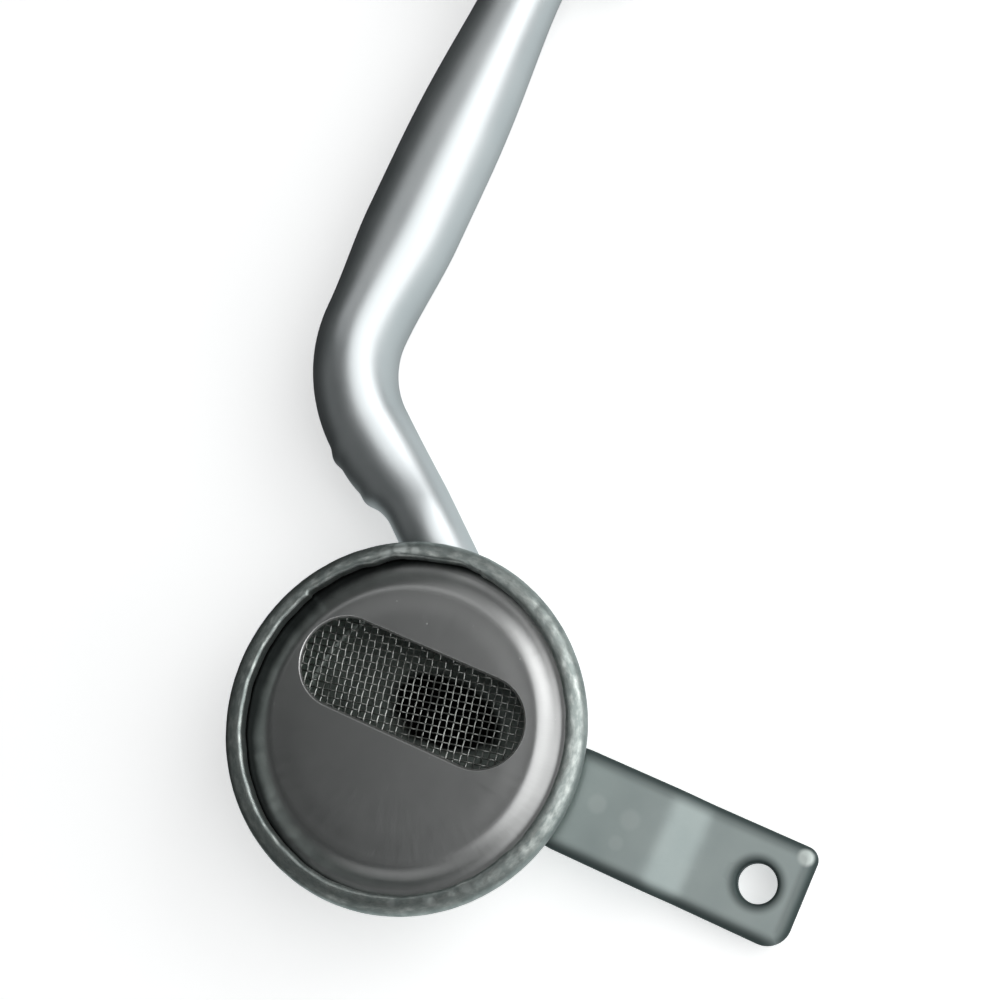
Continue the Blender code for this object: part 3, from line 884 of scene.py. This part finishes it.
def make_cover():
    """Rings from the slot's edge out to the plateau, down the shoulder and along the clamped flange."""
    outline = slot_outline()
    edge = [point.copy() for point, _ in outline]
    inner = [point + out * SLOT_CHAMFER for point, out in outline]
    outer = [onto_circle(point, out, PLATE_EDGE) for point, out in outline]
    shares = [ease(i / PLATEAU_STEPS) for i in range(PLATEAU_STEPS + 1)]
    rings = [edge] + [[a.lerp(b, share) for a, b in zip(inner, outer)] for share in shares]
    for i in range(1, SHOULDER_STEPS + 1):
        radius = PLATE_EDGE + (PLATEAU_RADIUS + SHOULDER_WIDTH - PLATE_EDGE) * i / SHOULDER_STEPS
        rings.append([place * (radius / PLATE_EDGE) for place in outer])
    rings.append([place * (COVER_RADIUS / PLATE_EDGE) for place in outer])
    for ring in rings:
        for place in ring:
            place.z = cover_height(place)
    for place in edge:
        place.z -= SLOT_CHAMFER
    bm = face_up(loft(rings))
    # The slot's edge is painted pale: bare punched metal, and a painted highlight along it
    bright = bm.verts.layers.float.new("bare_and_highlight")
    for vert in bm.verts:
        in_slot = Vector((abs(vert.co.x - SLOT_CENTRE.x), vert.co.y - SLOT_CENTRE.y))
        in_slot.x = max(in_slot.x - (SLOT_LENGTH - SLOT_WIDTH) / 2, 0.0)
        vert[bright] = float(in_slot.length < SLOT_WIDTH / 2 + BARE_EDGE_AND_HIGHLIGHT)
    cover = finish_piece("slotted_cover", bm, [COVER], "cover_plate")
    add_modifier(cover, "SOLIDIFY", thickness=COVER_SHEET, offset=-1.0)


# Wire cloth

def crimped_wire(half_count, side):
    """One wire along X from crossing -half_count to +half_count, over the crossings where side is 1."""
    bm = bmesh.new()
    turn = Matrix.Rotation(math.pi / 2, 4, "Y")
    step = CLOTH_PITCH / CRIMP_STEPS
    start = -(half_count + 0.5) * CLOTH_PITCH
    count = (2 * half_count + 1) * CRIMP_STEPS
    bmesh.ops.create_circle(bm, cap_ends=True, segments=WIRE_SIDES, radius=WIRE_RADIUS, matrix=turn)
    face = bm.faces[:][0]

    def height(x):
        return side * WIRE_RADIUS * math.cos(math.pi * x / CLOTH_PITCH)

    bmesh.ops.translate(bm, verts=bm.verts, vec=(start, 0, height(start)))
    for i in range(count):
        x = start + step * i
        grown = bmesh.ops.extrude_discrete_faces(bm, faces=[face])["faces"]
        face = grown[0]
        bmesh.ops.translate(bm, verts=face.verts, vec=(step, 0, height(x + step) - height(x)))
    return bm


def make_wire_cloth():
    """Two crossing families of crimped wires in a disc, which sags a little unevenly."""
    cloth = bmesh.new()
    lines = int(CLOTH_RADIUS / CLOTH_PITCH)
    for family in (0, 1):
        direction = Matrix.Rotation(CLOTH_TURN + family * math.pi / 2, 4, "Z")
        for line in range(-lines, lines + 1):
            offset = line * CLOTH_PITCH
            half = math.sqrt(max(CLOTH_RADIUS**2 - offset**2, 0.0))
            half_count = int(half / CLOTH_PITCH)
            side = (1 if line % 2 == 0 else -1) * (1 if family == 0 else -1)
            wire = crimped_wire(half_count, side)
            wire.transform(direction @ Matrix.Translation((0, offset, CLOTH_HEIGHT)))
            mesh = bpy.data.meshes.new("wire")
            wire.to_mesh(mesh)
            wire.free()
            cloth.from_mesh(mesh)
            bpy.data.meshes.remove(mesh)
    for vert in cloth.verts:
        lift = noise.noise(Vector((vert.co.x, vert.co.y, 0)) / CLOTH_SAG_LENGTH)
        vert.co.z += CLOTH_SAG * lift
    bmesh.ops.recalc_face_normals(cloth, faces=cloth.faces)
    finish_piece("wire_cloth", cloth, [WIRE], "wire_screen", 60.0)


def make_screen_ring():
    """The solid ring that slopes up from the cloth and is clamped under the cover."""
    low = CLOTH_HEIGHT + SEAT_GAP
    profile = []
    for i in range(PAN_STEPS + 1):
        t = i / PAN_STEPS
        profile.append((CLOTH_RADIUS + PAN_SLOPE_WIDTH * t, low + (SCREEN_TOP - low) * ease(t)))
    profile.append((SCREEN_RADIUS, SCREEN_TOP))
    bm = face_up(spin_profile(profile, PAN_SIDES))
    ring = finish_piece("screen_ring", bm, [WIRE], "wire_screen")
    add_modifier(ring, "SOLIDIFY", thickness=SCREEN_SHEET, offset=-1.0)


# Tube

def tube_stations():
    """Sections from the pump to the cup: centre, side vector, half width, half height and ripple."""
    foot = SIDE * LEG_OFFSET
    corner_y = (LEG_OFFSET - RUN_X * SIDE.x) / SIDE.y
    corner = Vector((RUN_X, corner_y, 0.0))
    turn = math.pi / 2 + LEG_ANGLE
    tangent = BEND_RADIUS * math.tan(turn / 2)
    bend_start_y = corner_y + tangent
    bend_centre = Vector((RUN_X + BEND_RADIUS, bend_start_y, 0.0))
    leg_start = (corner - foot).dot(LEG) + tangent
    bend_length = BEND_RADIUS * turn
    descent = bend_length + SWAGE_LENGTH
    stations = []

    def bend_height(travel):
        share = ease((travel - FLATTEN_START * bend_length) / (descent - FLATTEN_START * bend_length))
        return ELBOW_HALF_HEIGHT + (NECK_RADIUS - ELBOW_HALF_HEIGHT) * share

    def add(centre, side, half_width, half_height, travel=0.0, ripple=0.0):
        height = RUN_HEIGHT + (NECK_HEIGHT - RUN_HEIGHT) * ease(travel / descent)
        stations.append((Vector((centre.x, centre.y, height)), side, half_width, half_height, ripple))

    across = Vector((1.0, 0.0, 0.0))
    pump_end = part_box("pickup_tube")[1][1]
    add(Vector((RUN_X, pump_end, 0.0)), across, PUMP_NECK_RADIUS, PUMP_NECK_RADIUS)
    for i in range(RUN_STEPS, -1, -1):
        t = i / RUN_STEPS
        r = TUBE_RADIUS + (PUMP_NECK_RADIUS - TUBE_RADIUS) * ease(t**PUMP_TAPER_BIAS)
        y = PUMP_TAPER_START + (PUMP_TAPER_END - PUMP_TAPER_START) * t
        add(Vector((RUN_X, y, 0.0)), across, r, r)
    for i in range(RUN_STEPS):
        t = i / RUN_STEPS
        y = bend_start_y + ROUNDING_LENGTH * (1 - t)
        w = TUBE_RADIUS + (ELBOW_HALF_WIDTH - TUBE_RADIUS) * ease(t)
        h = TUBE_RADIUS + (ELBOW_HALF_HEIGHT - TUBE_RADIUS) * ease(t)
        add(Vector((RUN_X, y, 0.0)), across, w, h)
    for i in range(BEND_STEPS + 1):
        a = turn * i / BEND_STEPS
        side = Vector((math.cos(a), math.sin(a), 0.0))
        travel = BEND_RADIUS * a
        add(bend_centre - side * BEND_RADIUS, side, ELBOW_HALF_WIDTH, bend_height(travel), travel)
    for i in range(1, SWAGE_STEPS + 1):
        t = i / SWAGE_STEPS
        share = ease(t**SWAGE_BIAS)
        centre = foot + LEG * (leg_start + SWAGE_LENGTH * t) + SIDE * NECK_SHIFT * share
        w = ELBOW_HALF_WIDTH + (NECK_RADIUS - ELBOW_HALF_WIDTH) * share
        travel = bend_length + SWAGE_LENGTH * t
        wave = max(0.0, math.cos(2 * math.pi * (t - RIPPLE_START) / RIPPLE_PITCH)) ** 2
        add(centre, SIDE, w, bend_height(travel), travel, RIPPLE_HEIGHT * wave)
    add(foot + LEG * neck_end() + SIDE * NECK_SHIFT, SIDE, NECK_RADIUS, NECK_RADIUS, descent)
    return stations


def make_tube():
    """A loft through the tube's sections, with the ripples on the outer side of the swage."""
    angles = [2 * math.pi * i / TUBE_SIDES for i in range(TUBE_SIDES)]
    rings = []
    for centre, side, half_width, half_height, ripple in tube_stations():
        ring = []
        for a in angles:
            swell = ripple * max(0.0, -math.cos(a)) ** 2
            ring.append(centre + side * (half_width + swell) * math.cos(a) + UP * half_height * math.sin(a))
        rings.append(ring)
    tube = finish_piece("suction_tube", loft(rings), [TUBE], "pickup_tube")
    add_modifier(tube, "SOLIDIFY", thickness=TUBE_WALL, offset=-1.0)


# Strap

def strap_reach(direction, inset, depth):
    """Distance along a direction from the bolt hole's centre to the strap's outline, moved in by inset."""
    half = STRAP_WIDTH / 2 - inset
    end = STRAP_END_X - STRAP_HOLE.x - inset
    reaches = []
    if direction.y:
        reaches.append(half / abs(direction.y))
    if direction.x > 0:
        reaches.append(end / direction.x)
    wall = wall_radius(STRAP_ROOT_TOP - depth) + SEAT_GAP + inset
    along = STRAP_HOLE.dot(direction)
    inside = along**2 - STRAP_HOLE.length_squared + wall**2
    if direction.x < 0 and inside > 0:
        reaches.append(-along - math.sqrt(inside))
    reach = min(reaches)
    for side, corner in zip((1, -1), STRAP_CORNERS):
        radius = corner - inset
        centre = Vector((end - radius, side * (half - radius)))
        point = direction * reach
        if radius > 0 and point.x > centre.x and side * (point.y - centre.y) > 0:
            near = centre.dot(direction)
            reach = near + math.sqrt(max(radius**2 - centre.length_squared + near**2, 0.0))
    return reach


def strap_top(x):
    """Height of the strap's upper face, which steps down across the joggle."""
    t = min(max((x - JOGGLE_X) / JOGGLE_LENGTH + 0.5, 0.0), 1.0)
    return STRAP_ROOT_TOP - STRAP_DROP * t**3 * (10.0 - 15.0 * t + 6.0 * t * t)


def make_strap():
    """Rings from the bolt hole out over the top, round the edge, and back underneath to the hole."""
    angles = [2 * math.pi * i / STRAP_STEPS for i in range(STRAP_STEPS)]
    directions = [Vector((math.cos(a), math.sin(a))) for a in angles]
    mouth = STRAP_HOLE_RADIUS + STRAP_HOLE_ROUND
    quarter = [math.pi / 2 * i / ROUND_STEPS for i in range(ROUND_STEPS + 1)]
    rings = []

    def add(reaches, depth):
        ring = []
        for direction, reach in zip(directions, reaches):
            x, y = STRAP_HOLE + direction * reach
            ring.append(Vector((x, y, strap_top(x) - depth)))
        rings.append(ring)

    def hole(reach):
        return [reach] * STRAP_STEPS

    def outline(inset, depth):
        return [strap_reach(direction, inset, depth) for direction in directions]

    flat = outline(STRAP_EDGE_ROUND, 0.0)
    for a in quarter:
        add(hole(mouth - STRAP_HOLE_ROUND * math.cos(a)), STRAP_HOLE_ROUND * (1 - math.sin(a)))
    for i in range(1, STRAP_RINGS + 1):
        add([mouth + (reach - mouth) * i / STRAP_RINGS for reach in flat], 0.0)
    for a in quarter[1:]:
        depth = STRAP_EDGE_ROUND * (1 - math.cos(a))
        add(outline(STRAP_EDGE_ROUND * (1 - math.sin(a)), depth), depth)
    for a in quarter:
        depth = STRAP_THICKNESS - STRAP_EDGE_ROUND * (1 - math.sin(a))
        add(outline(STRAP_EDGE_ROUND * (1 - math.cos(a)), depth), depth)
    flat = outline(STRAP_EDGE_ROUND, STRAP_THICKNESS)
    for i in range(STRAP_RINGS - 1, -1, -1):
        add([mouth + (reach - mouth) * i / STRAP_RINGS for reach in flat], STRAP_THICKNESS)
    add(hole(STRAP_HOLE_RADIUS), STRAP_THICKNESS - STRAP_HOLE_ROUND)
    bm = loft(rings, closed=True)
    # Strength of the painted shade at the strap's edges and round its hole
    shade = bm.verts.layers.float.new("edge")
    for vert in bm.verts:
        beside = STRAP_WIDTH / 2 - abs(vert.co.y - STRAP_HOLE.y)
        inset = min(beside, STRAP_END_X - vert.co.x)
        from_hole = math.hypot(vert.co.x - STRAP_HOLE.x, vert.co.y - STRAP_HOLE.y) - STRAP_HOLE_RADIUS
        vert[shade] = max(1 - ease(inset / STRAP_EDGE_FADE), 1 - ease(from_hole / STRAP_HOLE_FADE))
    finish_piece("strap_bracket", bm, [STRAP], "mounting_bracket")


# Pieces that keep the solids' shape

def smooth_copy(node, name, material, angle, move=None):
    """A merged copy of a solid, shaded smooth, whose vertices may be moved."""
    bm = bmesh.new()
    bm.from_mesh(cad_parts[node].data)
    bmesh.ops.remove_doubles(bm, verts=bm.verts, dist=SOLID_MERGE_GAP)
    if move:
        for vert in bm.verts:
            vert.co = move(vert.co)
    return finish_piece(name, bm, [material], node, angle)


def onto_wall(place):
    """Moves a place inwards from the solid's upright wall to the cup's tapered one."""
    radius = math.hypot(place.x, place.y)
    share = (radius - CUP_RADIUS + wall_radius(place.z)) / radius
    return Vector((place.x * share, place.y * share, place.z))


def onto_wall_by_neck(place):
    """The same along the neck, so that the bead stays round it."""
    radius = math.hypot(place.x, place.y) - CUP_RADIUS + wall_radius(place.z)
    offset = place.dot(SIDE)
    return SIDE * offset - LEG * math.sqrt(radius**2 - offset**2) + UP * place.z


def sharpen_flats(piece, axis):
    """Makes the borders of the flats across an axis sharp, so that the flats shade flat."""
    bm = bmesh.new()
    bm.from_mesh(piece.data)
    for edge in bm.edges:
        flats = [abs(face.normal.dot(axis)) > FLAT_COSINE for face in edge.link_faces]
        if any(flats) and not all(flats):
            edge.smooth = False
    bm.to_mesh(piece.data)
    bm.free()


def make_fittings():
    """The flange, and the beads of filler at the joints."""
    flange = smooth_copy("pump_flange", "bolt_flange", FLANGE, 40.0)
    sharpen_flats(flange, Vector((0.0, 1.0, 0.0)))
    smooth_copy("tube_braze", "neck_braze", FILLER, 70.0, onto_wall_by_neck)
    smooth_copy("flange_braze", "flange_fillet", FILLER, 70.0)
    smooth_copy("bracket_weld", "strap_weld", STRAP, 70.0, onto_wall)


# Studio

def add_lamp(name, place, width, depth, radiance):
    """A soft box aimed at the part, with the power that gives its face a radiance."""
    data = bpy.data.lights.new(name, "AREA")
    data.shape = "ELLIPSE" if width == depth else "RECTANGLE"
    data.size = width
    data.size_y = depth
    area = width * depth * (math.pi / 4 if width == depth else 1.0)
    data.energy = radiance * math.pi * area
    lamp = bpy.data.objects.new(name, data)
    lamp.location = place
    lamp.rotation_euler = (LAMP_AIM * MM - place).to_track_quat("-Z", "Y").to_euler()
    lamp.visible_camera = False
    bpy.context.scene.collection.objects.link(lamp)


def add_stage(name, height, material):
    """A wide flat sheet at a height, which is scenery and no piece of the part."""
    bm = bmesh.new()
    bmesh.ops.create_grid(bm, x_segments=1, y_segments=1, size=STAGE_REACH)
    bmesh.ops.translate(bm, verts=bm.verts, vec=(0, 0, height))
    mesh = bpy.data.meshes.new(name)
    bm.to_mesh(mesh)
    bm.free()
    mesh.materials.append(material)
    stage = bpy.data.objects.new(name, mesh)
    bpy.context.scene.collection.objects.link(stage)
    return stage


def make_studio():
    """Pale paper floor, white room, a glowing bench sheet of painted reflection that only metal mirrors, and
    the soft boxes.
    """
    scene = bpy.context.scene
    scene.view_settings.view_transform = "Standard"
    world = bpy.data.worlds.new("studio")
    world.use_nodes = True
    background = world.node_tree.nodes["Background"]
    background.inputs["Color"].default_value = srgb(ROOM_TINT)
    rays = add_node(world, "ShaderNodeLightPath")
    level = add_node(
        world, "ShaderNodeMath", {0: rays.outputs["Is Camera Ray"], 1: ROOM_LEVEL}, operation="ADD"
    )
    world.node_tree.links.new(level.outputs[0], background.inputs["Strength"])
    scene.world = world

    paper = bpy.data.materials.new("pale paper")
    paper.use_nodes = True
    shader = paper.node_tree.nodes["Principled BSDF"]
    shader.inputs["Base Color"].default_value = srgb("#F7F8F8")
    shader.inputs["Roughness"].default_value = 0.9
    shader.inputs["Specular IOR Level"].default_value = 0.0
    rays = add_node(paper, "ShaderNodeLightPath")
    seen = add_node(
        paper,
        "ShaderNodeMath",
        {0: rays.outputs["Is Camera Ray"], 1: rays.outputs["Is Glossy Ray"]},
        operation="MAXIMUM",
    )
    through = add_node(
        paper,
        "ShaderNodeMath",
        {0: seen.outputs[0], 1: rays.outputs["Is Transmission Ray"]},
        operation="MAXIMUM",
    )
    # The lamps reach only the near floor, so the paper glows more far away
    place = add_node(paper, "ShaderNodeTexCoord").outputs["Object"]
    away = add_node(paper, "ShaderNodeVectorMath", {0: place}, operation="LENGTH")
    level = add_node(
        paper,
        "ShaderNodeMapRange",
        {
            "Value": away.outputs["Value"],
            "From Min": PAPER_NEAR,
            "From Max": PAPER_FAR,
            "To Min": PAPER_GLOW,
            "To Max": 1.0,
        },
        interpolation_type="SMOOTHSTEP",
    )
    glow = add_node(
        paper, "ShaderNodeMath", {0: through.outputs[0], 1: level.outputs["Result"]}, operation="MULTIPLY"
    )
    shader.inputs["Emission Color"].default_value = srgb("#FFFFFF")
    dress(paper, shader, Emission_Strength=glow.outputs[0])
    add_stage("floor", 0.0, paper)

    # Painted reflection: a glowing sheet that only the metal mirrors, dark on the tube's left and bright on
    # its right
    reflection_glow = bpy.data.materials.new("painted reflection glow")
    reflection_glow.use_nodes = True
    shader = reflection_glow.node_tree.nodes["Principled BSDF"]
    shader.inputs["Base Color"].default_value = srgb("#000000")
    shader.inputs["Specular IOR Level"].default_value = 0.0
    shader.inputs["Emission Color"].default_value = srgb(ROOM_TINT)
    place = add_node(reflection_glow, "ShaderNodeTexCoord").outputs["Object"]
    across = add_node(reflection_glow, "ShaderNodeSeparateXYZ", {"Vector": place})
    light = add_node(
        reflection_glow,
        "ShaderNodeMapRange",
        {
            "Value": across.outputs["X"],
            "From Min": BENCH_LEFT_X,
            "From Max": BENCH_RIGHT_X,
            "To Min": BENCH_LEFT,
            "To Max": BENCH_RIGHT,
        },
        interpolation_type="SMOOTHSTEP",
    )
    dress(reflection_glow, shader, Emission_Strength=light.outputs["Result"])
    reflection_sheet = add_stage("reflection_sheet", BENCH_HEIGHT, reflection_glow)
    reflection_sheet.visible_camera = False
    reflection_sheet.visible_diffuse = False
    reflection_sheet.visible_shadow = False

    for name, place, width, depth, radiance in LAMPS:
        add_lamp(name, place * MM, width, depth, radiance)


def make_camera():
    """The camera at the photograph's angle."""
    data = bpy.data.cameras.new("camera")
    data.lens = LENS
    data.sensor_width = SENSOR_WIDTH
    camera = bpy.data.objects.new("camera", data)
    forward = (CAMERA_AIM - CAMERA_PLACE).normalized()
    right = forward.cross(CAMERA_UP).normalized()
    above = right.cross(forward)
    turn = Matrix((right, above, -forward)).transposed().to_4x4()
    camera.matrix_world = Matrix.Translation(CAMERA_PLACE) @ turn
    bpy.context.scene.collection.objects.link(camera)
    bpy.context.scene.camera = camera


make_camera()
make_studio()
make_cup()
make_cover()
make_wire_cloth()
make_screen_ring()
make_tube()
make_strap()
make_fittings()
